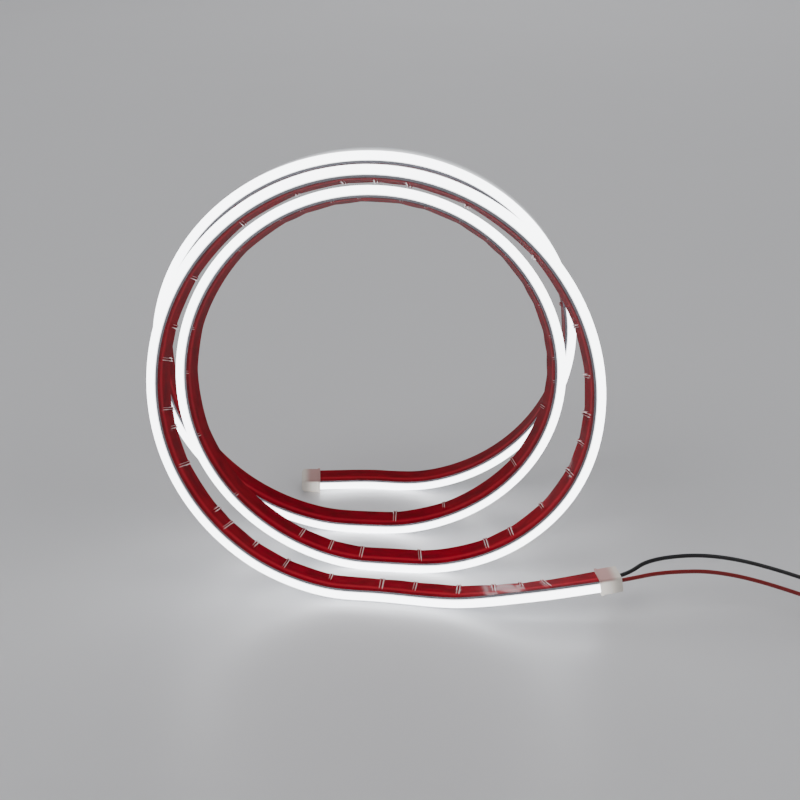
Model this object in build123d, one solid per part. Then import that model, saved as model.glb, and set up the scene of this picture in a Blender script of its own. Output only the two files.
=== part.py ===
from build123d import *
import math
import os

# A flexible daytime running light strip, wound into a loose standing coil.
# Millimetres. X runs to the right, Y away from the viewer, Z up, and the coil's axis lies along Y.

# Strip section: walls of the sleeve round its cavity, and the layers on its taped face
LIT_WALL = 2.6
BACK_WALL = 0.9
OUTER_WALL = 0.8
TAPED_WALL = 0.8
TAPE_THICKNESS = 0.9
ADHESIVE_FILM = 0.05
LINER_THICKNESS = 0.12

# Coil: even helix that the turns stray from, and the straight tails at its two ends
COIL_RADIUS = 88.0
COIL_SAG = 0.6
FLOOR_EASE = 1.2
TURN_GAP = 21.2
TURNS = 3
NEAR_TAIL = 104.0
FAR_TAIL = 37.0
SECTION_STEP = 10.0
CHORD_STEP = 12.0

# Light engine inside the sleeve
CIRCUIT_WIDTH = 7.1
CIRCUIT_THICKNESS = 0.2
LED_LENGTH = 3.8
LED_DEPTH = 1.4
LED_HEIGHT = 0.9
LEDS_PER_RESISTOR = 3
RESISTOR_LENGTH = 2.0
RESISTOR_DEPTH = 1.25
RESISTOR_HEIGHT = 0.5
RESISTOR_GAP = 1.6
SOLDER_FILM = 0.05

# Ends: cast seals in the sleeve, and caps slipped over sleeve, tape and liner
SEAL_DEPTH = 4.0
SEAL_WALL = 0.15
CAP_WALL = 0.7
CAP_END = 2.0
CAP_OVERLAP = 7.0
CAP_CORNER = 0.7
CAP_BEVEL = 0.5
CAP_FLARE = 0.3

# Supply leads
LEAD_DIAMETER = 1.7
CONDUCTOR_DIAMETER = 0.9
LEAD_SIDES = 8
LEAD_SPACING = 3.6
FIRST_RUN = 5.0
TIP_LENGTH = 7.0
SOLDER_WIDTH = 1.8
SOLDER_LENGTH = 3.0
BEND_SHARE = 0.45
BLACK_ROUTE = [
    (112.6, -41.0, 21.0),
    (141.0, -36.0, 21.0),
    (176.0, -37.0, 12.0),
    (208.0, -43.0, 1.5),
    (236.0, -47.0, 0.95),
]
RED_ROUTE = [
    (117.0, -48.0, 19.0),
    (142.0, -45.0, 18.5),
    (176.0, -50.0, 11.0),
    (208.0, -58.0, 1.5),
    (235.0, -65.0, 0.95),
]

# Clearances
FIT = 0.1
CAP_FIT = 0.1

# Width from the lit edge to the back edge, height from the outer face to the liner
STRIP_WIDTH = LIT_WALL + CIRCUIT_WIDTH + 2 * FIT + BACK_WALL
CAVITY_HEIGHT = LEAD_DIAMETER + 2 * (FIT + SEAL_WALL + FIT)
SLEEVE_HEIGHT = OUTER_WALL + CAVITY_HEIGHT + TAPED_WALL
STRIP_HEIGHT = SLEEVE_HEIGHT + TAPE_THICKNESS + ADHESIVE_FILM + LINER_THICKNESS
TURN_PITCH = STRIP_WIDTH + TURN_GAP
START = -math.degrees(NEAR_TAIL / COIL_RADIUS)
LAST_CONTACT = 360.0 * TURNS
END = LAST_CONTACT + math.degrees(FAR_TAIL / COIL_RADIUS)

# How the wound strip strays from the even helix at each station along it: angle from the first
# floor contact, then in shares of the radius how far outwards and backwards, and its roll, which
# turns the taped face to the viewer
STATIONS = [
    (START, -0.148, 0.011, -9.5),
    (0.65 * START, -0.08, -0.062, -16.0),
    (0.3 * START, 0.0, -0.017, -7.0),
    (0.0, 0.0, 0.0, -6.0),
    (90.0, -0.023, -0.011, 11.0),
    (180.0, 0.068, 0.011, 22.0),
    (270.0, 0.08, -0.148, 13.0),
    (315.0, 0.097, -0.08, 4.0),
    (360.0, 0.0, -0.08, 0.0),
    (450.0, -0.085, -0.091, 13.0),
    (540.0, -0.091, -0.068, 22.0),
    (630.0, -0.068, -0.148, 14.0),
    (720.0, 0.0, -0.091, 3.0),
    (810.0, 0.085, -0.216, 8.0),
    (900.0, 0.011, -0.205, 4.0),
    (990.0, 0.011, -0.08, 3.0),
    (LAST_CONTACT, 0.0, 0.023, 0.0),
    (END, -0.023, -0.057, 0.0),
]


def strays(angle):
    """Outward stray, backward stray and roll at an angle, on smooth curves through the stations."""
    spans = range(len(STATIONS) - 1)
    here = max([index for index in spans if STATIONS[index][0] <= angle], default=0)
    before, low, high, after = (
        STATIONS[min(max(index, 0), len(STATIONS) - 1)] for index in range(here - 1, here + 3)
    )
    span = high[0] - low[0]
    t = (angle - low[0]) / span
    values = []
    for column in (1, 2, 3):
        low_slope = span * (high[column] - before[column]) / (high[0] - before[0])
        high_slope = span * (after[column] - low[column]) / (after[0] - low[0])
        values.append(
            (2 * t**3 - 3 * t**2 + 1) * low[column]
            + (t**3 - 2 * t**2 + t) * low_slope
            + (3 * t**2 - 2 * t**3) * high[column]
            + (t**3 - t**2) * high_slope
        )
    return values


def outer_edge(angle):
    """A point on the strip's lit outer edge. The tails run straight, and the floor flattens turns."""
    outwards, backwards, _ = strays(angle)
    reach = COIL_RADIUS * (1.0 + outwards)
    turned = math.radians(min(max(angle, 0.0), LAST_CONTACT))
    along_tail = COIL_RADIUS * (math.radians(angle) - turned)
    x = -reach * math.sin(turned) - along_tail
    y = TURN_PITCH * angle / 360.0 + COIL_RADIUS * backwards
    height = COIL_RADIUS - COIL_SAG - reach * math.cos(turned)
    return Vector(x, y, (height + math.hypot(height, FLOOR_EASE)) / 2)


def section(angle):
    """The plane across the strip: x from the lit edge to the back, y from the outer face inwards."""
    along = (outer_edge(angle + 1.0) - outer_edge(angle - 1.0)).normalized()
    backwards = Vector(0, 1, 0) - along * along.Y
    level = Plane(outer_edge(angle), x_dir=backwards, z_dir=-along)
    roll = strays(angle)[2]
    pivot = STRIP_WIDTH if roll < 0 else 0.0
    return Plane(level.location * Pos(pivot, 0) * Rot(0, 0, roll) * Pos(-pivot, 0))


def angle_past(angle, distance):
    """The angle that lies a distance further along the strip."""
    in_coil = 0.0 < angle < LAST_CONTACT
    reach = COIL_RADIUS * (1.0 + strays(angle)[0] if in_coil else 1.0)
    return angle + math.degrees(distance / reach)


def smooth_angles(first, last):
    """Evenly spaced places for a smoothly curved band."""
    count = math.ceil((last - first) / SECTION_STEP)
    return [first + (last - first) * index / count for index in range(count + 1)]


def chord_angles(first, last, step=CHORD_STEP):
    """Places for a band in straight chords, the same for every band between its two ends."""
    counts = range(math.ceil(first / step + 0.5), math.floor(last / step - 0.5) + 1)
    return [first, *[step * count for count in counts], last]


def corner_lines(left, right, low, high, angles):
    """The places along the strip of a rectangular section's four corners."""
    planes = [section(angle) for angle in angles]
    corners = [(left, low), (right, low), (right, high), (left, high)]
    return [[plane.from_local_coords((u, v, 0)) for plane in planes] for u, v in corners]


def smooth_rail(line):
    """A curve through a corner's places, in step with those of the other corners."""
    return Edge.make_spline(line, parameters=[index / len(line) for index in range(len(line))])


def chord_rail(line):
    return Polyline(*line)


def side_faces(lines, rail):
    """Faces ruled between rails of one kind along the four corner lines."""
    rails = [rail(line) for line in lines]
    sides = [Face.make_surface_from_curves(rails[side - 1], rails[side]) for side in range(4)]
    return [face for side in sides for face in side.faces()]


def end_outlines(lines):
    """The closed outlines of the section at its two ends."""
    return [Wire.make_polygon([line[end] for line in lines]) for end in (0, -1)]


def band(left, right, low, high, first=START, last=END):
    """A solid of rectangular section along the strip, smoothly curved."""
    lines = corner_lines(left, right, low, high, smooth_angles(first, last))
    ends = [Face(outline) for outline in end_outlines(lines)]
    return Solid(Shell(side_faces(lines, smooth_rail) + ends))


def chord_band(left, right, low, high, angles):
    """A solid of rectangular section along the strip, in straight chords between its places."""
    lines = corner_lines(left, right, low, high, angles)
    ends = [Face(outline) for outline in end_outlines(lines)]
    return Solid(Shell(side_faces(lines, chord_rail) + ends))


# Faces of the cavity in the sleeve, across the strip and from its outer face inwards
CAVITY_FRONT = LIT_WALL
CAVITY_BACK = STRIP_WIDTH - BACK_WALL
CAVITY_LOW = OUTER_WALL
CAVITY_HIGH = CAVITY_LOW + CAVITY_HEIGHT
CIRCUIT_HIGH = CAVITY_HIGH - FIT
CIRCUIT_LOW = CIRCUIT_HIGH - CIRCUIT_THICKNESS
CIRCUIT_START = angle_past(START, SEAL_DEPTH + FIT)
CIRCUIT_END = angle_past(END, -SEAL_DEPTH - FIT)
LEAD_START = -SEAL_DEPTH - 6 * FIT
LEAD_HEIGHT = (CAVITY_LOW + CAVITY_HIGH) / 2
LEAD_MIDDLE = (CAVITY_FRONT + CAVITY_BACK) / 2
RED_PLACE = LEAD_MIDDLE - LEAD_SPACING / 2
BLACK_PLACE = LEAD_MIDDLE + LEAD_SPACING / 2

near_end = section(START)
far_end = section(END)


def make_sleeve():
    """Milky silicone extrusion with a cavity all along it, thickest behind its lit edge."""
    outside = corner_lines(0, STRIP_WIDTH, 0, SLEEVE_HEIGHT, smooth_angles(START, END))
    cavity_angles = [START, *chord_angles(CIRCUIT_START, CIRCUIT_END), END]
    cavity = corner_lines(CAVITY_FRONT, CAVITY_BACK, CAVITY_LOW, CAVITY_HIGH, cavity_angles)
    walls = side_faces(outside, smooth_rail) + side_faces(cavity, chord_rail)
    rims = zip(end_outlines(outside), end_outlines(cavity))
    return Solid(Shell(walls + [Face(rim, [hole]) for rim, hole in rims]))


def make_tape():
    return band(0, STRIP_WIDTH, SLEEVE_HEIGHT, SLEEVE_HEIGHT + TAPE_THICKNESS)


def make_liner():
    """Film that has creased crosswise in the bend, straight between its creases, closest in the tail."""
    tail = chord_angles(START, 0.0, CHORD_STEP / 2)
    angles = [*tail, *chord_angles(0.0, END)[1:]]
    return chord_band(0, STRIP_WIDTH, STRIP_HEIGHT - LINER_THICKNESS, STRIP_HEIGHT, angles)


def make_circuit():
    front = CAVITY_FRONT + FIT
    back = CAVITY_BACK - FIT
    angles = chord_angles(CIRCUIT_START, CIRCUIT_END)
    return chord_band(front, back, CIRCUIT_LOW, CIRCUIT_HIGH, angles)


def on_circuit(chord, across, length, depth, height):
    """A component's block on the middle of a chord of the circuit, its length along the strip."""
    low = CIRCUIT_LOW - SOLDER_FILM
    near, far = [section(angle).from_local_coords((across, low, 0)) for angle in chord]
    across_both = section(chord[0]).x_dir + section(chord[1]).x_dir
    face = Plane((near + far) / 2, x_dir=across_both, z_dir=near - far)
    return face * Pos(depth / 2, -height / 2) * Box(depth, height, length)


def led_chords():
    """The chords of the circuit that carry an LED, all but the one with the pads and the last."""
    angles = chord_angles(CIRCUIT_START, CIRCUIT_END)
    return list(zip(angles, angles[1:]))[1:-1]


def make_leds():
    """Side-emitting packages along the circuit's front edge, facing the lit wall."""
    front = CAVITY_FRONT + FIT
    return [on_circuit(chord, front, LED_LENGTH, LED_DEPTH, LED_HEIGHT) for chord in led_chords()]


def make_resistors():
    """One resistor behind the LEDs of each group."""
    place = CAVITY_FRONT + FIT + LED_DEPTH + RESISTOR_GAP
    return [
        on_circuit(chord, place, RESISTOR_LENGTH, RESISTOR_DEPTH, RESISTOR_HEIGHT)
        for chord in led_chords()[1::LEDS_PER_RESISTOR]
    ]


def rod(diameter, length):
    """A straight rod of the leads' many-sided section, along Z from the origin."""
    return extrude(RegularPolygon(diameter / 2, LEAD_SIDES), length)


def lead_pins():
    """Two pins for the leads' holes, on their straight lines through the near end."""
    pin = Pos(0, 0, -2 * SEAL_DEPTH) * rod(LEAD_DIAMETER + 2 * FIT, 2 * SEAL_DEPTH + 2 * CAP_END)
    return [near_end * Pos(place, LEAD_HEIGHT) * pin for place in (RED_PLACE, BLACK_PLACE)]


def make_seal(first, last):
    """Sealant cast into an end of the sleeve, flush with it."""
    front = CAVITY_FRONT + FIT
    back = CAVITY_BACK - FIT
    return chord_band(front, back, CAVITY_LOW + FIT, CAVITY_HIGH - FIT, [first, last])


def make_cap(end, outwards, first, last):
    """Moulded cap, flared at its mouth and bevelled at its closed end, pocketed for the strip."""
    width = STRIP_WIDTH + 2 * (CAP_FIT + CAP_WALL)
    height = STRIP_HEIGHT + 2 * (CAP_FIT + CAP_WALL)
    tip = CAP_FIT + CAP_END
    outline = [(-CAP_OVERLAP, CAP_FLARE), (tip - CAP_BEVEL, 0), (tip, -CAP_BEVEL)]
    body = loft(
        [
            Pos(0, 0, outwards * z) * RectangleRounded(width + 2 * grow, height + 2 * grow, CAP_CORNER)
            for z, grow in outline
        ],
        ruled=True,
    )
    right = STRIP_WIDTH + CAP_FIT
    pocket = band(-CAP_FIT, right, -CAP_FIT, STRIP_HEIGHT + CAP_FIT, first, last)
    return end * Pos(STRIP_WIDTH / 2, STRIP_HEIGHT / 2) * body - pocket


def make_near_cap():
    """The cap on the near end, with a hole for each lead."""
    pocket_mouth = angle_past(START, 2 * CAP_OVERLAP)
    cap = make_cap(near_end, 1, angle_past(START, -CAP_FIT), pocket_mouth)
    return cap - lead_pins()


def make_far_cap():
    pocket_mouth = angle_past(END, -2 * CAP_OVERLAP)
    return make_cap(far_end, -1, pocket_mouth, angle_past(END, CAP_FIT))


def make_solder():
    """Solder on the circuit's pads, up to the ends of the leads that lie in it."""
    high = CIRCUIT_LOW - 2 * FIT
    height = high - LEAD_HEIGHT + CONDUCTOR_DIAMETER / 2
    block = Box(SOLDER_WIDTH, height, SOLDER_LENGTH)
    depth = LEAD_START - SOLDER_LENGTH / 2
    places = (RED_PLACE, BLACK_PLACE)
    return [near_end * Pos(place, high - height / 2, depth) * block for place in places]


def solids_of(shape):
    """All solids of one shape or of a list of shapes."""
    shapes = shape if isinstance(shape, list) else [shape]
    return [solid for item in shapes for solid in item.solids()]


light = {
    "silicone_sleeve": make_sleeve(),
    "foam_tape": make_tape(),
    "release_liner": make_liner(),
    "flex_circuit": make_circuit(),
    "side_leds": make_leds(),
    "chip_resistors": make_resistors(),
    "solder_joints": make_solder(),
    "lead_end_seal": make_seal(START, CIRCUIT_START) - lead_pins(),
    "blind_end_seal": make_seal(CIRCUIT_END, END),
    "lead_end_cap": make_near_cap(),
    "blind_end_cap": make_far_cap(),
}

# The light stands on the floor with the middle of its footprint at the origin
box = Compound([solid for shape in light.values() for solid in solids_of(shape)]).bounding_box()
stand = Pos(-box.center().X, -box.center().Y, -box.min.Z)


def lead_exit(place, depth):
    """A point on a lead's straight line through the near end, a depth out of the sleeve."""
    return (stand * near_end.location * Pos(place, LEAD_HEIGHT, depth)).position


def make_lead(name, place, route):
    """A lead from its seal through the cap and along its route, and the bared tip beyond it."""
    points = [lead_exit(place, LEAD_START), lead_exit(place, FIRST_RUN), *[Vector(*p) for p in route]]
    runs = [after - before for before, after in zip(points, points[1:])]
    radii = []
    for before, after in zip(runs, runs[1:]):
        half_turn = math.radians(before.get_angle(after) / 2)
        radii.append(BEND_SHARE * min(before.length, after.length) / math.tan(half_turn))
    path = FilletPolyline(*points, radius=radii)
    print(name, "radii", [round(radius) for radius in radii], "length", round(path.length))
    tube = sweep(
        Plane(points[0], z_dir=runs[0]) * RegularPolygon(LEAD_DIAMETER / 2, LEAD_SIDES), path=path
    )
    return tube, Plane(points[-1], z_dir=runs[-1]) * rod(CONDUCTOR_DIAMETER, TIP_LENGTH)


black_lead, black_tip = make_lead("black_lead", BLACK_PLACE, BLACK_ROUTE)
red_lead, red_tip = make_lead("red_lead", RED_PLACE, RED_ROUTE)

parts = {name: [stand * solid for solid in solids_of(shape)] for name, shape in light.items()}
parts["black_lead"] = solids_of(black_lead)
parts["red_lead"] = solids_of(red_lead)
parts["lead_tips"] = [*solids_of(black_tip), *solids_of(red_tip)]

os.makedirs("parts", exist_ok=True)
for name, solids in parts.items():
    export_step(solids[0] if len(solids) == 1 else Compound(solids), f"parts/{name}.step")
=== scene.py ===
import bisect
import math
import random

import bmesh
import bpy
from bpy.props import FloatProperty, FloatVectorProperty, IntProperty, PointerProperty
from bpy.types import Operator, Panel, PropertyGroup
from mathutils import Matrix, Vector


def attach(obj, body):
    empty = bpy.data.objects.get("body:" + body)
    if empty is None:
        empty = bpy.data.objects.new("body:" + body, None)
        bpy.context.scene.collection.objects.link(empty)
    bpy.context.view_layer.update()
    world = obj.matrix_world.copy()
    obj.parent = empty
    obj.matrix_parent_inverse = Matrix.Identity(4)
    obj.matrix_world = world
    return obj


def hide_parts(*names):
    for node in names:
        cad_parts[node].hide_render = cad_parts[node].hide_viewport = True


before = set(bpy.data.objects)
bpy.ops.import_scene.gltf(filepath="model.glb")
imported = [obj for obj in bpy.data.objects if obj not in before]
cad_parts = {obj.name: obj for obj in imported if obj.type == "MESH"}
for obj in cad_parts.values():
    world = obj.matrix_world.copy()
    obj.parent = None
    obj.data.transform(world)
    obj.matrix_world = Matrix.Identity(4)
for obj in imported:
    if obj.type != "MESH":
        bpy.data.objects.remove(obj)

bl_info = {
    "name": "Coiled light strip",
    "version": (1, 0, 0),
    "blender": (4, 5, 0),
    "location": "View3D > Sidebar > Light strip",
    "description": "A flexible daytime running light strip, lit and wound into a standing coil",
    "category": "Add Mesh",
}

# How the wound strip strays from an even helix: angle from the first floor contact in degrees,
# then in shares of the radius how far outwards and backwards, and its roll in degrees
STATIONS = (
    (-67.713, -0.148, 0.011, -9.5),
    (-44.0135, -0.08, -0.062, -16.0),
    (-20.3139, 0.0, -0.017, -7.0),
    (0.0, 0.0, 0.0, -6.0),
    (90.0, -0.023, -0.011, 11.0),
    (180.0, 0.068, 0.011, 22.0),
    (270.0, 0.08, -0.148, 13.0),
    (315.0, 0.097, -0.08, 4.0),
    (360.0, 0.0, -0.08, 0.0),
    (450.0, -0.085, -0.091, 13.0),
    (540.0, -0.091, -0.068, 22.0),
    (630.0, -0.068, -0.148, 14.0),
    (720.0, 0.0, -0.091, 3.0),
    (810.0, 0.085, -0.216, 8.0),
    (900.0, 0.011, -0.205, 4.0),
    (990.0, 0.011, -0.08, 3.0),
    (1080.0, 0.0, 0.023, 0.0),
    (1104.09, -0.023, -0.057, 0.0),
)
START = STATIONS[0][0]
LAST_CONTACT = STATIONS[-2][0]
END = STATIONS[-1][0]

# Angles of the liner's creases on the turns that face the viewer
CREASES = (
    -50, -43, -35, -25, -13, -4, 11, 25, 36, 46, 52, 69, 81, 87, 102, 112, 127, 147, 163, 175,
    183, 191, 206, 227, 248, 262, 273, 282, 292, 306, 318, 326, 346, 363, 373, 383, 407, 430,
    451, 466, 496, 512, 519, 667, 697, 714,
)

# Stretches that the viewer doesn't see, or hardly, where the creases fall by chance
UNSEEN = ((519, 650), (800, 1000))

# Angles between which a crease is no more than a dent in the liner's front edge, and how far it
# reaches across the strip, as a share of its width
FIRST_DENT, LAST_DENT = 400, 640
DENT_REACH = 0.3

# Where the other creases may begin, as a share of the strip's width, and how steeply all of
# them rise across it
CREASE_FRONTS = (0.05, 0.1, 0.2, 0.4)
CREASE_RISE = 6

# Shares of the film's bow and of a crease's height that are left at the liner's front edge
FRONT_BOW = 0.3
FRONT_HEIGHT = 0.25

# Lines of a crease, in shares of its half width, and how high each of them stands
FOLD = ((-1.0, 0.0), (-0.5, 1.0), (0.0, 0.15), (0.5, 0.8), (1.0, 0.0))

# Points of the two leads, from the circuit through the cap and on to the floor
BLACK_ROUTE = (
    (0.09298, -0.04721, 0.01374),
    (0.10239, -0.0461, 0.01529),
    (0.1126, -0.041, 0.021),
    (0.141, -0.036, 0.021),
    (0.176, -0.037, 0.012),
    (0.208, -0.043, 0.0015),
    (0.236, -0.047, 0.00095),
)
RED_ROUTE = (
    (0.09329, -0.05074, 0.01439),
    (0.1027, -0.04963, 0.01594),
    (0.117, -0.048, 0.019),
    (0.142, -0.045, 0.0185),
    (0.176, -0.05, 0.011),
    (0.208, -0.058, 0.0015),
    (0.235, -0.065, 0.00095),
)

# Strands of a bared tip that lie round a middle one, their twist in degrees, and its steps
OUTER_STRANDS = 6
TWIST = 400
TWIST_STEPS = 28

# Steps round a cap's corners and round its closed end
CAP_STEPS = 4

# Where finishes change from the strip's lit edge to its back, in metres: the white edge, the glow
# beside it, both sides of the film's painted highlight, and the painted glow in the caps
WHITE_EDGE = (0.0011, 0.0004)
GLOW_FADE = (0.0115, 0.0)
HIGHLIGHT_FRONT = (0.0012, 0.0026)
HIGHLIGHT_BACK = (0.0046, 0.0030)
CAP_GLOW = (0.006, -0.0008)

# Where they change inwards from the outer face: the margin by the tape, where the glow stops and
# painted shade darkens the sleeve, and the side of the caps that lies over the film
TAPE_SHADE_MARGIN = (0.0040, 0.0034)
FILM_SIDE = (0.0042, 0.0056)

# Where the caps change out of the strip's end: the red of the film under them, and the glow
CAP_RED_END = (0.0012, -0.0026)
CAP_GLOW_END = (0.0016, -0.0068)

# Rings of the backdrop: radius and height
BACKDROP = ((3.0, 0.0), (3.5, 0.12), (3.9, 0.5), (4.1, 1.1), (4.2, 2.2))

# Soft lights: place, the point that each looks at, size, power, and whether surfaces mirror it
LIGHTS = {
    "key": ((-1.6, -1.2, 2.2), (0, 0.3, 0.05), 1.6, 26, True),
    "fill": ((1.8, -0.8, 1.6), (0, 0.3, 0.05), 1.6, 12, True),
    "back": ((0.2, 2.6, 2.4), (0, 1.2, 0.0), 2.4, 34, False),
}


def length_value(name, description, default):
    """A length in metres that a user may change."""
    return FloatProperty(
        name=name, description=description, default=default, unit="LENGTH", precision=5
    )


def number_value(name, description, default):
    """A plain number that a user may change."""
    return FloatProperty(name=name, description=description, default=default)


def colour_value(name, description, default):
    """A colour that a user may change."""
    return FloatVectorProperty(
        name=name, description=description, default=default, subtype="COLOR", max=1
    )


class StripSizes(PropertyGroup):
    """Sizes of the strip's section and of what is on its ends."""

    width: length_value("Width", "From the lit edge to the back edge", 0.0108)
    sleeve_height: length_value("Sleeve height", "Silicone sleeve, outer face to taped face", 0.004)
    tape_thickness: length_value("Tape thickness", "Foam tape on the taped face", 0.0009)
    liner_thickness: length_value("Liner thickness", "Film over the tape", 0.00012)
    rounding: length_value("Rounding", "Radius along the sleeve's edges", 0.0006)
    bend_step: length_value("Bend step", "Length of the straight pieces of a bend", 0.0042)
    cap_wall: length_value("Cap wall", "Wall of the end caps with their clearance", 0.0008)
    cap_overlap: length_value("Cap overlap", "How far a cap reaches over the strip", 0.007)
    cap_end: length_value("Cap end", "How far a cap reaches past the strip", 0.0021)
    cap_flare: length_value("Cap flare", "How far a cap's mouth widens", 0.0003)
    cap_rim: length_value("Cap rim", "Length of a cap's wide mouth", 0.0007)
    cap_corner: length_value("Cap corner", "Radius along a cap's long edges", 0.0008)
    lead_rounding: length_value("Lead cap rounding", "Radius round the cap's closed end", 0.0006)
    blind_rounding: length_value("Blind cap rounding", "Radius round the cap's closed end", 0.0017)
    lead_diameter: length_value("Lead diameter", "Insulated supply leads", 0.0017)
    tip_diameter: length_value("Tip diameter", "Bared strands of a lead", 0.0009)
    tip_length: length_value("Tip length", "Bared strands of a lead", 0.007)


class CoilShape(PropertyGroup):
    """The even helix that the wound strip strays from."""

    radius: length_value("Radius", "Middle size of the turns", 0.088)
    sag: length_value("Sag", "How far the turns settle on the floor", 0.0006)
    floor_ease: length_value("Floor ease", "How softly the strip comes down to the floor", 0.0012)
    pitch: length_value("Pitch", "From turn to turn", 0.032)
    place: FloatVectorProperty(
        name="Place",
        description="Where the coil stands",
        default=(-0.005154, -0.04999, -0.000208),
        unit="LENGTH",
    )


class LinerCreases(PropertyGroup):
    """How the bend has creased the release liner."""

    seed: IntProperty(
        name="Seed", description="Another number creases the liner otherwise", default=7
    )
    least_gap: number_value("Least gap", "Degrees between creases that fall by chance", 7)
    most_gap: number_value("Most gap", "Degrees between creases that fall by chance", 16)
    slant: number_value("Slant", "How far a crease may slant by chance", 0.06)
    lean: number_value("Lean", "How far the creases lean with the turn", 0.36)
    least_height: length_value("Least height", "How far a crease stands out", 0.0005)
    most_height: length_value("Most height", "How far a crease stands out", 0.0012)
    least_half: length_value("Least half width", "From a crease's middle to its foot", 0.0009)
    most_half: length_value("Most half width", "From a crease's middle to its foot", 0.0013)
    bow: length_value("Bow", "How far the film bows between two creases", 0.0003)
    span: length_value("Span", "Length of the straight pieces between two creases", 0.0022)


class Finishes(PropertyGroup):
    """Colours of the strip and strength of its light."""

    glow: FloatProperty(name="Glow", description="Strength of the lit edge", default=7.0, min=0)
    light: colour_value("Light", "Colour of the lit edge", (0.95, 0.97, 1.0))
    silicone: colour_value("Silicone", "Milky sleeve", (0.80, 0.82, 0.85))
    haze: colour_value("Haze", "Clouds in the sleeve", (0.70, 0.73, 0.77))
    foam: colour_value("Foam", "Tape", (0.24, 0.24, 0.27))
    cells: colour_value("Cells", "Open cells of the tape", (0.36, 0.36, 0.40))
    film: colour_value("Film", "Release liner", (0.30, 0.003, 0.013))
    dark_film: colour_value("Dark film", "Clouds in the liner", (0.17, 0.0015, 0.008))
    # A painted highlight: the brighter red line along the film's front third
    film_highlight: colour_value("Bright film", "Line along the liner", (0.55, 0.016, 0.034))
    # Pale ridges of the creases: partly stress-whitened film, partly a painted glint
    whitening_and_painted_glint: colour_value("Ridges", "Ridges of the liner's creases", (0.95, 0.72, 0.72))
    cap: colour_value("Cap", "End caps", (0.76, 0.71, 0.64))
    cap_haze: colour_value("Cap haze", "Clouds in the end caps", (0.58, 0.52, 0.44))
    cap_red: colour_value("Cap red", "End caps over the film", (0.42, 0.14, 0.14))
    cap_light: colour_value("Cap light", "Light in the end caps", (1.0, 0.95, 0.88))
    black: colour_value("Black lead", "Insulation of the black lead", (0.006, 0.006, 0.007))
    red: colour_value("Red lead", "Insulation of the red lead", (0.24, 0.006, 0.006))


class StudioStage(PropertyGroup):
    """The floor, the sky over it, and the camera."""

    floor: colour_value("Floor", "Floor and backdrop", (0.72, 0.72, 0.735))
    floor_haze: colour_value("Floor haze", "Clouds in the floor", (0.75, 0.75, 0.765))
    sky_colour: colour_value("Sky colour", "Light from all round", (0.78, 0.79, 0.82))
    sky: FloatProperty(
        name="Sky", description="Strength of the light from all round", default=0.25, min=0
    )
    lens: number_value("Lens", "Focal length in millimetres", 51.53)
    sensor: number_value("Sensor", "Width in millimetres", 36)
    tilt: number_value("Tilt", "Degrees up from looking straight down", 65.37)
    turn: number_value("Turn", "Degrees that the camera looks to the left", 3.29)
    camera: FloatVectorProperty(
        name="Camera",
        description="Where the camera stands",
        default=(0.03265, -0.44879, 0.27736),
        unit="LENGTH",
    )


def strays(angle):
    """Outward stray, backward stray and roll at an angle, on smooth curves through the stations."""
    angles = [row[0] for row in STATIONS]
    here = min(max(bisect.bisect_right(angles, angle) - 1, 0), len(STATIONS) - 2)
    before, low, high, after = (
        STATIONS[min(max(index, 0), len(STATIONS) - 1)] for index in range(here - 1, here + 3)
    )
    span = high[0] - low[0]
    t = (angle - low[0]) / span
    values = []
    for column in (1, 2, 3):
        low_slope = span * (high[column] - before[column]) / (high[0] - before[0])
        high_slope = span * (after[column] - low[column]) / (after[0] - low[0])
        values.append(
            (2 * t**3 - 3 * t**2 + 1) * low[column]
            + (t**3 - 2 * t**2 + t) * low_slope
            + (3 * t**2 - 2 * t**3) * high[column]
            + (t**3 - t**2) * high_slope
        )
    return values[0], values[1], math.radians(values[2])


def outer_edge(coil, angle):
    """A point on the strip's lit edge. The tails run straight, and the floor flattens the turns."""
    outwards, backwards, _ = strays(angle)
    reach = coil.radius * (1 + outwards)
    turned = math.radians(min(max(angle, 0.0), LAST_CONTACT))
    along_tail = coil.radius * (math.radians(angle) - turned)
    x = -reach * math.sin(turned) - along_tail
    y = coil.pitch * angle / 360 + coil.radius * backwards
    height = coil.radius - coil.sag - reach * math.cos(turned)
    return Vector((x, y, (height + math.hypot(height, coil.floor_ease)) / 2)) + Vector(coil.place)


def strip_frame(scene, angle):
    """The frame across the strip: X from the lit edge back, Y from the outer face inwards."""
    coil = scene.coil_shape
    out = (outer_edge(coil, angle - 1) - outer_edge(coil, angle + 1)).normalized()
    across = (Vector((0, 1, 0)) - out * out.y).normalized()
    level = Matrix((across, out.cross(across), out)).transposed().to_4x4()
    level.translation = outer_edge(coil, angle)
    roll = strays(angle)[2]
    pivot = Matrix.Translation((scene.strip_sizes.width if roll < 0 else 0, 0, 0))
    return level @ pivot @ Matrix.Rotation(roll, 4, "Z") @ pivot.inverted()


def runs_along(edge):
    """Whether an edge of a flat strip piece lies along it."""
    first, last = (vert.co for vert in edge.verts)
    return abs(first.x - last.x) > abs(first.y - last.y) + abs(first.z - last.z)


def flat_bar(scene, low, high):
    """A bar as long as the strip: X along it, Y from the lit edge, Z from the outer face."""
    radius = scene.coil_shape.radius
    first, last = radius * math.radians(START), radius * math.radians(END)
    middle = Vector(((first + last) / 2, (low[0] + high[0]) / 2, (low[1] + high[1]) / 2))
    size = Vector((last - first, high[0] - low[0], high[1] - low[1]))
    bm = bmesh.new()
    bmesh.ops.create_cube(bm, size=1)
    bmesh.ops.transform(bm, matrix=Matrix.LocRotScale(middle, None, size), verts=bm.verts)
    return bm


def divide(bm, step):
    """Divides a bar evenly along its length, so that it can bend."""
    edges = [edge for edge in bm.edges if runs_along(edge)]
    cuts = round(edges[0].calc_length() / step)
    bmesh.ops.subdivide_edges(bm, edges=edges, cuts=cuts, use_grid_fill=True)


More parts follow.
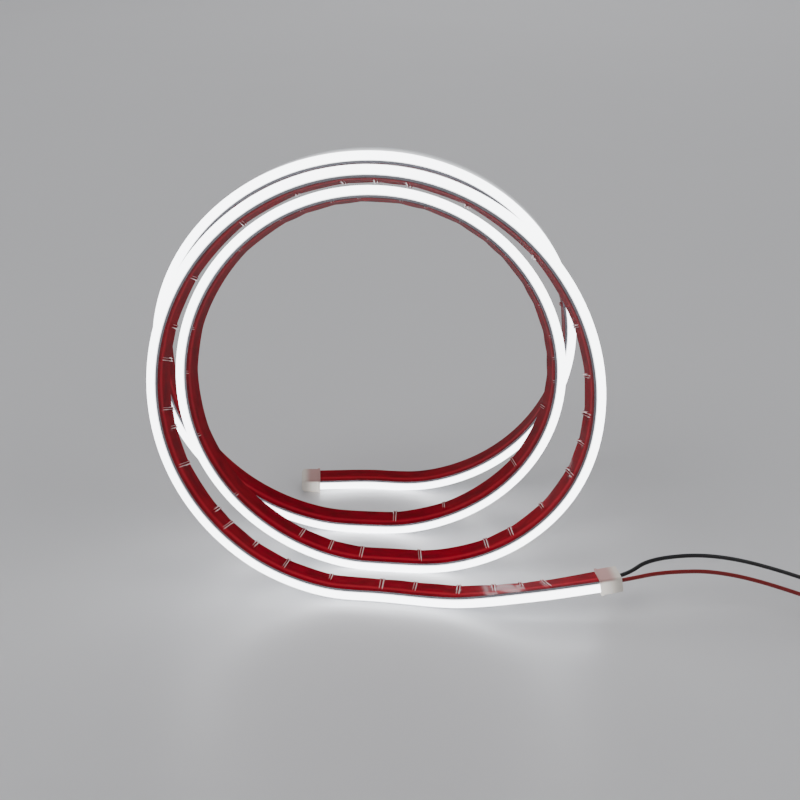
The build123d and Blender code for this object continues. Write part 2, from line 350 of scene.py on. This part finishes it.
def wind(bm, scene):
    """Winds a straight bar on to the coil, and keeps its straight places as an attribute."""
    flat = bm.verts.layers.float_vector.new("flat")
    frames = {}
    for vert in bm.verts:
        key = round(vert.co.x, 7)
        if key not in frames:
            frames[key] = strip_frame(scene, math.degrees(key / scene.coil_shape.radius))
        vert[flat] = vert.co
        vert.co = frames[key] @ Vector((vert.co.y, vert.co.z, 0))
    bmesh.ops.recalc_face_normals(bm, faces=bm.faces)


def made_piece(name, bm, material, node, smooth_angle=35):
    """An object from a finished bmesh, in the place of a CAD node, on the part's one body."""
    mesh = bpy.data.meshes.new(name)
    bm.to_mesh(mesh)
    bm.free()
    mesh.materials.append(material)
    mesh.shade_smooth()
    mesh.set_sharp_from_angle(angle=math.radians(smooth_angle))
    piece = bpy.data.objects.new(name, mesh)
    bpy.context.scene.collection.objects.link(piece)
    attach(piece, "root")
    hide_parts(node)
    return piece


class Shade:
    """A socket of a finish that takes part in Python arithmetic."""

    def __init__(self, finish, socket):
        self.finish = finish
        self.socket = socket

    def _math(self, operation, left, right):
        node = self.finish.node("Math", {"operation": operation}, {0: left, 1: right})
        return Shade(self.finish, node.outputs[0])

    def __add__(self, other):
        return self._math("ADD", self, other)

    def __sub__(self, other):
        return self._math("SUBTRACT", self, other)

    def __rsub__(self, other):
        return self._math("SUBTRACT", other, self)

    def __mul__(self, other):
        return self._math("MULTIPLY", self, other)

    def __pow__(self, other):
        return self._math("POWER", self, other)

    __radd__ = __add__
    __rmul__ = __mul__


class Finish:
    """A material in the making: its nodes, and the shader that they feed."""

    def __init__(self, name, **constants):
        self.material = bpy.data.materials.new(name)
        self.material.use_nodes = True
        self.tree = self.material.node_tree
        self.shader = self.tree.nodes["Principled BSDF"]
        self.feed(**constants)

    def put(self, socket, value):
        """A number, colour, socket or Shade into a socket."""
        value = value.socket if isinstance(value, Shade) else value
        if isinstance(value, bpy.types.NodeSocket):
            self.tree.links.new(value, socket)
        elif hasattr(value, "__len__") and len(socket.default_value) == 4:
            socket.default_value = (*tuple(value)[:3], 1)
        else:
            socket.default_value = value

    def feed(self, **values):
        """Values or links for the shader's sockets, such as base_color or coat_weight."""
        for name, value in values.items():
            label = name.replace("_", " ").title().replace("Ior", "IOR")
            self.put(self.shader.inputs[label], value)

    def node(self, kind, settings=None, inputs=None):
        """Any node: its type, its settings, and the values or links of its sockets."""
        node = self.tree.nodes.new("ShaderNode" + kind)
        for name, value in (settings or {}).items():
            setattr(node, name, value)
        for key, value in (inputs or {}).items():
            self.put(node.inputs[key], value)
        return node

    def place(self):
        """Object coordinates."""
        return self.node("TexCoord").outputs["Object"]

    def attribute(self, name):
        """An attribute of the piece's own mesh."""
        return self.node("Attribute", {"attribute_name": name})

    def flat(self):
        """Places along the straight strip as a vector, and its three numbers."""
        vector = self.attribute("flat").outputs["Vector"]
        parts = self.node("SeparateXYZ", inputs={0: vector}).outputs
        return vector, [Shade(self, part) for part in parts]

    def ramp(self, value, low, high):
        """0 at low, 1 at high, smooth between them."""
        settings = {"interpolation_type": "SMOOTHSTEP"}
        inputs = {"Value": value, "From Min": low, "From Max": high}
        return Shade(self, self.node("MapRange", settings, inputs).outputs[0])

    def noise(self, vector, scale=1.0, detail=3.0):
        """Cloudy numbers about 0.5."""
        inputs = {"Vector": vector, "Scale": scale, "Detail": detail}
        return Shade(self, self.node("TexNoise", inputs=inputs).outputs[0])

    def stretched(self, vector, scale):
        """A vector with its three numbers scaled."""
        return self.node("VectorMath", {"operation": "MULTIPLY"}, {0: vector, 1: scale}).outputs[0]

    def mix(self, share, first, second):
        """A colour between two."""
        settings = {"data_type": "RGBA"}
        return self.node("Mix", settings, {0: share, 6: first, 7: second}).outputs[2]

    def bump(self, height, strength, distance):
        """Small relief on the surface."""
        inputs = {"Height": height, "Strength": strength, "Distance": distance}
        self.feed(normal=self.node("Bump", inputs=inputs).outputs[0])


def lit_silicone(scene):
    """Milky silicone: white hot at its lit edge, dimmer over the outer face, with painted shade by
    the tape.
    """
    looks = scene.finishes
    finish = Finish("lit_silicone", roughness=0.38, emission_strength=looks.glow)
    vector, (_, across, inward) = finish.flat()
    # clear is 0 in the margin by the tape, where the glow stops and painted shade falls
    clear = finish.ramp(inward, *TAPE_SHADE_MARGIN)
    lit = finish.ramp(across, *WHITE_EDGE) * clear
    spots = finish.ramp(finish.noise(finish.stretched(vector, (55, 0, 0)), detail=1.0), 0.35, 0.65)
    fade = finish.ramp(across, *GLOW_FADE) ** 1.6
    leak = fade * (spots * 0.03 + 0.12) * (clear * 0.9 + 0.1) + 0.012
    dim = finish.mix(leak, (0, 0, 0), looks.light)
    finish.feed(emission_color=finish.mix(lit, dim, looks.light))
    cloud = finish.noise(vector, scale=240)
    milky = finish.mix(cloud * 0.35, looks.silicone, looks.haze)
    # Painted shade: the sleeve turns towards the tape's grey in the margin by the taped face
    finish.feed(base_color=finish.mix((1 - clear) * 0.8, milky, looks.foam))
    grain = finish.noise(finish.stretched(vector, (120, 900, 900)))
    finish.bump(grain, strength=0.12, distance=0.0001)
    return finish.material


def grey_foam(scene):
    """Closed-cell foam, open cells showing along its cut edges."""
    looks = scene.finishes
    finish = Finish("grey_foam", roughness=0.9)
    cells = finish.noise(finish.place(), scale=2600, detail=2.0)
    finish.feed(base_color=finish.mix(finish.ramp(cells, 0.35, 0.7), looks.foam, looks.cells))
    finish.bump(cells, strength=0.5, distance=0.0001)
    return finish.material


def red_film(scene):
    """Glossy red release film with a painted highlight on its front third, pale on crease ridges.
    """
    looks = scene.finishes
    finish = Finish(
        "red_film", specular_ior_level=0.0, roughness=0.2, coat_ior=1.4, coat_roughness=0.1
    )
    vector, (_, across, _) = finish.flat()
    crease = Shade(finish, finish.attribute("crease").outputs["Fac"])
    cloud = finish.noise(finish.stretched(vector, (90, 220, 0)))
    plain = finish.mix(finish.ramp(cloud, 0.3, 0.75), looks.film, looks.dark_film)
    # Painted highlight: a brighter red band along the film's front third
    front = finish.ramp(across, *HIGHLIGHT_FRONT) * finish.ramp(across, *HIGHLIGHT_BACK)
    highlighted_film = finish.mix(front * 0.7, plain, looks.film_highlight)
    # The creases' ridges turn pale: partly stress-whitened film, partly a painted glint
    raised = finish.ramp(crease, 0.5, 0.9)
    finish.feed(base_color=finish.mix(raised * 0.9, highlighted_film, looks.whitening_and_painted_glint))
    finish.feed(coat_weight=cloud * 0.2 + 0.25)
    waves = finish.noise(finish.stretched(vector, (160, 60, 0)), detail=2.0)
    finish.bump(waves, strength=0.03, distance=0.0003)
    return finish.material


def cap_silicone(scene):
    """Translucent silicone that takes up the red film under it, with a painted glow of the light.
    """
    looks = scene.finishes
    finish = Finish("cap_silicone", roughness=0.36, emission_strength=1.0)
    _, (across, inward, out) = finish.flat()
    over_film = finish.ramp(inward, *FILM_SIDE)
    over_strip = finish.ramp(out, *CAP_RED_END)
    cloud = finish.noise(finish.place(), scale=420)
    milky = finish.mix(cloud * 0.5, looks.cap, looks.cap_haze)
    pink = finish.mix(over_strip * 0.75, milky, looks.cap_red)
    finish.feed(base_color=finish.mix(over_film, milky, pink))
    # Painted glow: the side by the strip's lit edge glows as if lit from the strip, and a little
    # all over
    lit_side = finish.ramp(across, *CAP_GLOW) * finish.ramp(out, *CAP_GLOW_END)
    shine = lit_side * (1 - over_film) * 0.75 + 0.02
    finish.feed(emission_color=finish.mix(shine, (0, 0, 0), looks.cap_light))
    finish.bump(finish.noise(finish.place(), scale=700), strength=0.2, distance=0.0001)
    return finish.material


def lead_insulation(name, colour):
    """Smooth extruded insulation with fine lines of the die along it."""
    finish = Finish(name, roughness=0.34, coat_weight=0.15)
    cloud = finish.noise(finish.place(), scale=300)
    dull = tuple(part * 0.55 + 0.004 for part in colour)
    finish.feed(base_color=finish.mix(cloud * 0.5, colour, dull))
    lines = finish.noise(finish.stretched(finish.place(), (60, 900, 900)))
    finish.bump(lines, strength=0.1, distance=0.00005)
    return finish.material


def speckled(name, colour, second, scale, roughness, metallic=0.0):
    """A plain technical surface with slight cloudy variation."""
    finish = Finish(name, metallic=metallic)
    cloud = finish.noise(finish.place(), scale)
    finish.feed(base_color=finish.mix(cloud, colour, second), roughness=cloud * 0.15 + roughness)
    return finish.material


class LIGHTSTRIP_OT_sleeve(Operator):
    """Winds the milky silicone sleeve"""

    bl_idname = "lightstrip.sleeve"
    bl_label = "Silicone sleeve"

    def execute(self, context):
        sizes = context.scene.strip_sizes
        bm = flat_bar(context.scene, (0, 0), (sizes.width, sizes.sleeve_height))
        edges = [edge for edge in bm.edges if runs_along(edge)]
        bmesh.ops.bevel(
            bm,
            geom=edges,
            offset=sizes.rounding,
            segments=3,
            profile=0.5,
            affect="EDGES",
            material=-1,
        )
        divide(bm, sizes.bend_step)
        wind(bm, context.scene)
        made_piece("sleeve", bm, lit_silicone(context.scene), "silicone_sleeve")
        return {"FINISHED"}


class LIGHTSTRIP_OT_tape(Operator):
    """Winds the foam tape on the sleeve's inner face"""

    bl_idname = "lightstrip.tape"
    bl_label = "Foam tape"

    def execute(self, context):
        sizes = context.scene.strip_sizes
        high = sizes.sleeve_height + sizes.tape_thickness
        bm = flat_bar(context.scene, (0, sizes.sleeve_height), (sizes.width, high))
        divide(bm, sizes.bend_step)
        wind(bm, context.scene)
        made_piece("tape", bm, grey_foam(context.scene), "foam_tape")
        return {"FINISHED"}


class LIGHTSTRIP_OT_liner(Operator):
    """Winds the red release liner, creased crosswise by the bend"""

    bl_idname = "lightstrip.liner"
    bl_label = "Release liner"

    def crease_lines(self, scene):
        """Each crease's place, slant, height, half width, front end and whether it's a dent."""
        creases = scene.liner_creases
        chance = random.Random(creases.seed)
        angles = list(CREASES)
        for angle, last in UNSEEN:
            while angle < last - creases.most_gap:
                angle += chance.uniform(creases.least_gap, creases.most_gap)
                angles.append(angle)
        lines = []
        for angle in sorted(angles):
            turn = math.radians(angle)
            place = scene.coil_shape.radius * turn
            slant = chance.uniform(-creases.slant, creases.slant) - creases.lean * math.sin(turn)
            height = chance.uniform(creases.least_height, creases.most_height)
            half = chance.uniform(creases.least_half, creases.most_half)
            front = chance.choice(CREASE_FRONTS)
            lines.append((place, slant, height, half, front, FIRST_DENT < angle < LAST_DENT))
        return lines

    def cut(self, bm, width, lines, span):
        """Cuts the flat film along the lines of each crease, and evenly between the creases."""
        for place, slant, _, half, *_ in lines:
            for offset, _ in FOLD:
                bmesh.ops.bisect_plane(
                    bm,
                    geom=[*bm.verts, *bm.edges, *bm.faces],
                    plane_co=(place + offset * half, width / 2, 0),
                    plane_no=Vector((1, -slant, 0)),
                )
        places = [row[0] for row in lines]
        gaps = {}
        for edge in bm.edges:
            if runs_along(edge) and edge.calc_length() > span:
                middle = (edge.verts[0].co.x + edge.verts[1].co.x) / 2
                gaps.setdefault(bisect.bisect(places, middle), []).append(edge)
        for edges in gaps.values():
            cuts = math.ceil(edges[0].calc_length() / span)
            bmesh.ops.subdivide_edges(bm, edges=edges, cuts=cuts, use_grid_fill=True)

    def fold(self, off):
        """Height of a crease between its lines, from 0 to 1."""
        for (low, low_height), (high, high_height) in zip(FOLD, FOLD[1:]):
            if low <= off <= high:
                return low_height + (high_height - low_height) * (off - low) / (high - low)
        return 0

    def pucker(self, bm, width, lines, bow):
        """Raises the creases, most at the back edge, and bows the film a little between them."""
        layer = bm.verts.layers.float.new("crease")
        places = [row[0] for row in lines]
        for vert in bm.verts:
            nearest = min(max(bisect.bisect(places, vert.co.x), 1), len(places) - 1)
            low, high = places[nearest - 1], places[nearest]
            share = min(max((vert.co.x - low) / (high - low), 0), 1)
            back = vert.co.y / width
            lift = bow * math.sin(math.pi * share) * (FRONT_BOW + (1 - FRONT_BOW) * back)
            for place, slant, height, half, front, dent in lines[nearest - 1 : nearest + 1]:
                off = (vert.co.x - place - slant * (vert.co.y - width / 2)) / half
                inside = DENT_REACH - back if dent else back - front
                raised = self.fold(off) * min(max(CREASE_RISE * inside, 0), 1)
                lift += height * raised * (FRONT_HEIGHT + (1 - FRONT_HEIGHT) * back**2)
                vert[layer] = max(vert[layer], raised)
            vert.co.z += lift

    def execute(self, context):
        scene = context.scene
        sizes, creases = scene.strip_sizes, scene.liner_creases
        low = sizes.sleeve_height + sizes.tape_thickness
        bm = flat_bar(scene, (0, low), (sizes.width, low + sizes.liner_thickness))
        wide = [
            edge
            for edge in bm.edges
            if abs(edge.verts[0].co.y - edge.verts[1].co.y) > sizes.width / 2
        ]
        bmesh.ops.subdivide_edges(bm, edges=wide, cuts=5, use_grid_fill=True)
        lines = self.crease_lines(scene)
        self.cut(bm, sizes.width, lines, creases.span)
        self.pucker(bm, sizes.width, lines, creases.bow)
        wind(bm, scene)
        made_piece("liner", bm, red_film(scene), "release_liner")
        return {"FINISHED"}


class LIGHTSTRIP_OT_caps(Operator):
    """Moulds the two end caps, each with a flared mouth and a soft closed end"""

    bl_idname = "lightstrip.caps"
    bl_label = "End caps"

    def soft_cap(self, sizes, rounding):
        """A cap in its own frame: X across the strip, Y inwards, Z out of the strip's end."""
        wall = sizes.cap_wall
        height = sizes.sleeve_height + sizes.tape_thickness + sizes.liner_thickness + 2 * wall
        size = Vector((sizes.width + 2 * wall, height, 1))
        middle = Vector((size.x / 2 - wall, size.y / 2 - wall, 0))
        flare, start = sizes.cap_flare, sizes.cap_end - rounding
        rim = sizes.cap_rim - sizes.cap_overlap
        rings = [(-sizes.cap_overlap, flare), (rim, flare), (rim + 2 * flare, 0)]
        for step in range(CAP_STEPS + 1):
            turn = math.radians(90 * step / CAP_STEPS)
            rings.append((start + rounding * math.sin(turn), rounding * (math.cos(turn) - 1)))
        bm = bmesh.new()
        bmesh.ops.create_grid(bm, x_segments=1, y_segments=1, size=0.5)
        bmesh.ops.scale(bm, vec=size, verts=bm.verts)
        bmesh.ops.bevel(
            bm,
            geom=bm.verts[:],
            offset=sizes.cap_corner,
            segments=CAP_STEPS,
            profile=0.5,
            affect="VERTICES",
            material=-1,
        )
        bm.faces.ensure_lookup_table()
        face = bm.faces[0]
        outline = [vert.co.copy() for vert in face.verts]
        for index, (out, grow) in enumerate(rings):
            if index:
                made = bmesh.ops.extrude_face_region(bm, geom=[face])
                face = next(part for part in made["geom"] if isinstance(part, bmesh.types.BMFace))
            wider = Matrix.Diagonal((1 + 2 * grow / size.x, 1 + 2 * grow / size.y, 1))
            for vert in face.verts:
                nearest = min(outline, key=lambda co: (co.xy - vert.co.xy).length)
                vert.co = wider @ nearest + Vector((0, 0, out))
        mouth = min(bm.faces, key=lambda part: part.calc_center_median().z)
        bmesh.ops.inset_region(bm, faces=[mouth], thickness=wall, use_even_offset=True)
        made = bmesh.ops.extrude_face_region(bm, geom=[mouth])
        floor = [part for part in made["geom"] if isinstance(part, bmesh.types.BMVert)]
        bmesh.ops.translate(bm, vec=(0, 0, sizes.cap_overlap / 2), verts=floor)
        bmesh.ops.translate(bm, vec=middle, verts=bm.verts)
        layer = bm.verts.layers.float_vector.new("flat")
        for vert in bm.verts:
            vert[layer] = vert.co
        return bm

    def execute(self, context):
        scene = context.scene
        sizes = scene.strip_sizes
        mirror = Matrix.Scale(-1, 4, (0, 0, 1))
        silicone = cap_silicone(scene)
        ends = (
            ("lead_cap", strip_frame(scene, START), sizes.lead_rounding, "lead_end_cap"),
            ("blind_cap", strip_frame(scene, END) @ mirror, sizes.blind_rounding, "blind_end_cap"),
        )
        for name, end, rounding, node in ends:
            bm = self.soft_cap(sizes, rounding)
            bmesh.ops.transform(bm, matrix=end, verts=bm.verts)
            bmesh.ops.recalc_face_normals(bm, faces=bm.faces)
            made_piece(name, bm, silicone, node, smooth_angle=50)
        return {"FINISHED"}


class LIGHTSTRIP_OT_leads(Operator):
    """Lays the two supply leads, with a twist of bared strands at each free end"""

    bl_idname = "lightstrip.leads"
    bl_label = "Supply leads"

    def insulated_lead(self, name, route, diameter, material):
        """A round lead on one smooth curve."""
        curve = bpy.data.curves.new(name, "CURVE")
        curve.dimensions = "3D"
        curve.bevel_depth = diameter / 2
        curve.bevel_resolution = 5
        curve.use_fill_caps = True
        spline = curve.splines.new("NURBS")
        spline.points.add(len(route) - 1)
        for point, place in zip(spline.points, route):
            point.co = (*place, 1)
        spline.order_u = 3
        spline.use_endpoint_u = True
        spline.resolution_u = 16
        curve.materials.append(material)
        lead = bpy.data.objects.new(name, curve)
        bpy.context.scene.collection.objects.link(lead)
        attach(lead, "root")
        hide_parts(name.replace("_wire", "_lead"))
        return lead

    def strands(self, name, route, sizes, material):
        """Tinned strands twisted round a middle one, three of them side by side across the tip."""
        radius = sizes.tip_diameter / 6
        bm = bmesh.new()
        for index in range(OUTER_STRANDS + 1):
            turn = Matrix.Rotation(math.tau * index / OUTER_STRANDS, 4, "Z")
            aside = Matrix.Translation((2 * radius if index < OUTER_STRANDS else 0, 0, 0))
            made = bmesh.ops.create_circle(
                bm, segments=8, radius=radius, matrix=turn @ aside, cap_ends=True
            )
            bmesh.ops.spin(
                bm,
                geom=list({face for vert in made["verts"] for face in vert.link_faces}),
                cent=(0, 0, 0),
                axis=(0, 0, 1),
                dvec=(0, 0, sizes.tip_length / TWIST_STEPS),
                angle=math.radians(TWIST),
                steps=TWIST_STEPS,
                use_merge=False,
                use_duplicate=False,
            )
        last, tip = (Vector(point) for point in route[-2:])
        aim = (tip - last).to_track_quat("Z", "Y")
        bmesh.ops.transform(bm, matrix=Matrix.LocRotScale(tip, aim, None), verts=bm.verts)
        bmesh.ops.recalc_face_normals(bm, faces=bm.faces)
        return made_piece(name, bm, material, "lead_tips", smooth_angle=60)

    def execute(self, context):
        sizes, looks = context.scene.strip_sizes, context.scene.finishes
        tin = ((0.62, 0.62, 0.63), (0.45, 0.44, 0.43))
        tinned = speckled("tinned_strands", *tin, scale=1500, roughness=0.22, metallic=1.0)
        leads = (("black", BLACK_ROUTE, looks.black), ("red", RED_ROUTE, looks.red))
        for name, route, colour in leads:
            insulation = lead_insulation(name + "_insulation", tuple(colour))
            wire = self.insulated_lead(name + "_wire", route, sizes.lead_diameter, insulation)
            tip = self.strands(name + "_strands", route, sizes, tinned)
        return {"FINISHED"}


class LIGHTSTRIP_OT_inside(Operator):
    """Finishes the light engine and seals that the sleeve holds"""

    bl_idname = "lightstrip.inside"
    bl_label = "Light engine"

    def execute(self, context):
        mask = ((0.86, 0.86, 0.83), (0.78, 0.77, 0.73))
        package = ((0.85, 0.80, 0.48), (0.75, 0.66, 0.30))
        ceramic = ((0.02, 0.02, 0.022), (0.05, 0.05, 0.055))
        solder = ((0.66, 0.66, 0.68), (0.5, 0.5, 0.52))
        rubber = ((0.80, 0.80, 0.78), (0.70, 0.70, 0.68))
        sealant = speckled("sealant", *rubber, scale=700, roughness=0.45)
        finishes = {
            "flex_circuit": speckled("solder_mask", *mask, scale=900, roughness=0.35),
            "side_leds": speckled("led_package", *package, scale=1600, roughness=0.4),
            "chip_resistors": speckled("resistor_ceramic", *ceramic, scale=1800, roughness=0.4),
            "solder_joints": speckled(
                "bright_solder", *solder, scale=1400, roughness=0.2, metallic=1.0
            ),
            "lead_end_seal": sealant,
            "blind_end_seal": sealant,
        }
        for node, material in finishes.items():
            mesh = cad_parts[node].data
            mesh.materials.clear()
            mesh.materials.append(material)
        return {"FINISHED"}


class LIGHTSTRIP_OT_stage(Operator):
    """Sets out the pale floor, the soft lights and the camera"""

    bl_idname = "lightstrip.stage"
    bl_label = "Stage"

    def floor(self, scene):
        """A round floor that rises into a pale backdrop."""
        stage = scene.studio_stage
        finish = Finish("pale_floor", roughness=0.32)
        cloud = finish.noise(finish.place(), scale=3.0)
        finish.feed(base_color=finish.mix(cloud, stage.floor, stage.floor_haze))
        bm = bmesh.new()
        bmesh.ops.create_circle(bm, cap_ends=True, segments=96, radius=BACKDROP[0][0])
        edges = bm.edges[:]
        for (inner, low), (outer, high) in zip(BACKDROP, BACKDROP[1:]):
            made = bmesh.ops.extrude_edge_only(bm, edges=edges)["geom"]
            edges = [part for part in made if isinstance(part, bmesh.types.BMEdge)]
            rim = [part for part in made if isinstance(part, bmesh.types.BMVert)]
            bmesh.ops.scale(bm, vec=(outer / inner, outer / inner, 1), verts=rim)
            bmesh.ops.translate(bm, vec=(0, 0, high - low), verts=rim)
        mesh = bpy.data.meshes.new("floor")
        bm.to_mesh(mesh)
        bm.free()
        mesh.materials.append(finish.material)
        mesh.shade_smooth()
        floor = bpy.data.objects.new("floor", mesh)
        scene.collection.objects.link(floor)

    def soft_light(self, scene, name, place, aim, size, power, mirrored):
        """A large soft light that looks at a point."""
        lamp = bpy.data.lights.new(name, "AREA")
        lamp.shape = "DISK"
        lamp.size = size
        lamp.energy = power
        light = bpy.data.objects.new(name, lamp)
        light.location = place
        light.rotation_euler = (Vector(aim) - Vector(place)).to_track_quat("-Z", "Y").to_euler()
        light.visible_glossy = mirrored
        scene.collection.objects.link(light)

    def sky(self, scene):
        """Plain pale light from all round."""
        stage = scene.studio_stage
        world = bpy.data.worlds.new("studio")
        world.use_nodes = True
        inputs = world.node_tree.nodes["Background"].inputs
        inputs["Color"].default_value = (*stage.sky_colour, 1)
        inputs["Strength"].default_value = stage.sky
        scene.world = world

    def camera(self, scene):
        """A camera at the viewer's place."""
        stage = scene.studio_stage
        lens = bpy.data.cameras.new("camera")
        lens.sensor_width = stage.sensor
        lens.lens = stage.lens
        camera = bpy.data.objects.new("camera", lens)
        camera.location = stage.camera
        camera.rotation_euler = (math.radians(stage.tilt), 0, math.radians(stage.turn))
        scene.collection.objects.link(camera)
        scene.camera = camera

    def execute(self, context):
        self.floor(context.scene)
        self.sky(context.scene)
        for name, values in LIGHTS.items():
            self.soft_light(context.scene, name, *values)
        self.camera(context.scene)
        return {"FINISHED"}


class LIGHTSTRIP_PT_panel(Panel):
    """The strip's values and pieces"""

    bl_label = "Light strip"
    bl_space_type = "VIEW_3D"
    bl_region_type = "UI"
    bl_category = "Light strip"

    def draw(self, context):
        for name, group in GROUPS.items():
            box = self.layout.box()
            for value in group.__annotations__:
                box.prop(getattr(context.scene, name), value)
        for operator in OPERATORS:
            self.layout.operator(operator.bl_idname)


# The groups of values and the names under which a scene holds them
GROUPS = {
    "strip_sizes": StripSizes,
    "coil_shape": CoilShape,
    "liner_creases": LinerCreases,
    "finishes": Finishes,
    "studio_stage": StudioStage,
}
OPERATORS = (
    LIGHTSTRIP_OT_stage,
    LIGHTSTRIP_OT_sleeve,
    LIGHTSTRIP_OT_tape,
    LIGHTSTRIP_OT_liner,
    LIGHTSTRIP_OT_caps,
    LIGHTSTRIP_OT_leads,
    LIGHTSTRIP_OT_inside,
)


def register():
    for part in (*GROUPS.values(), *OPERATORS, LIGHTSTRIP_PT_panel):
        bpy.utils.register_class(part)
    for name, group in GROUPS.items():
        setattr(bpy.types.Scene, name, PointerProperty(type=group))


def unregister():
    for name in GROUPS:
        delattr(bpy.types.Scene, name)
    for part in reversed((*GROUPS.values(), *OPERATORS, LIGHTSTRIP_PT_panel)):
        bpy.utils.unregister_class(part)


def main():
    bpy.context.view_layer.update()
    register()
    bpy.ops.lightstrip.stage()
    bpy.ops.lightstrip.sleeve()
    bpy.ops.lightstrip.tape()
    bpy.ops.lightstrip.liner()
    bpy.ops.lightstrip.caps()
    bpy.ops.lightstrip.leads()
    bpy.ops.lightstrip.inside()


if __name__ == "__main__":
    main()
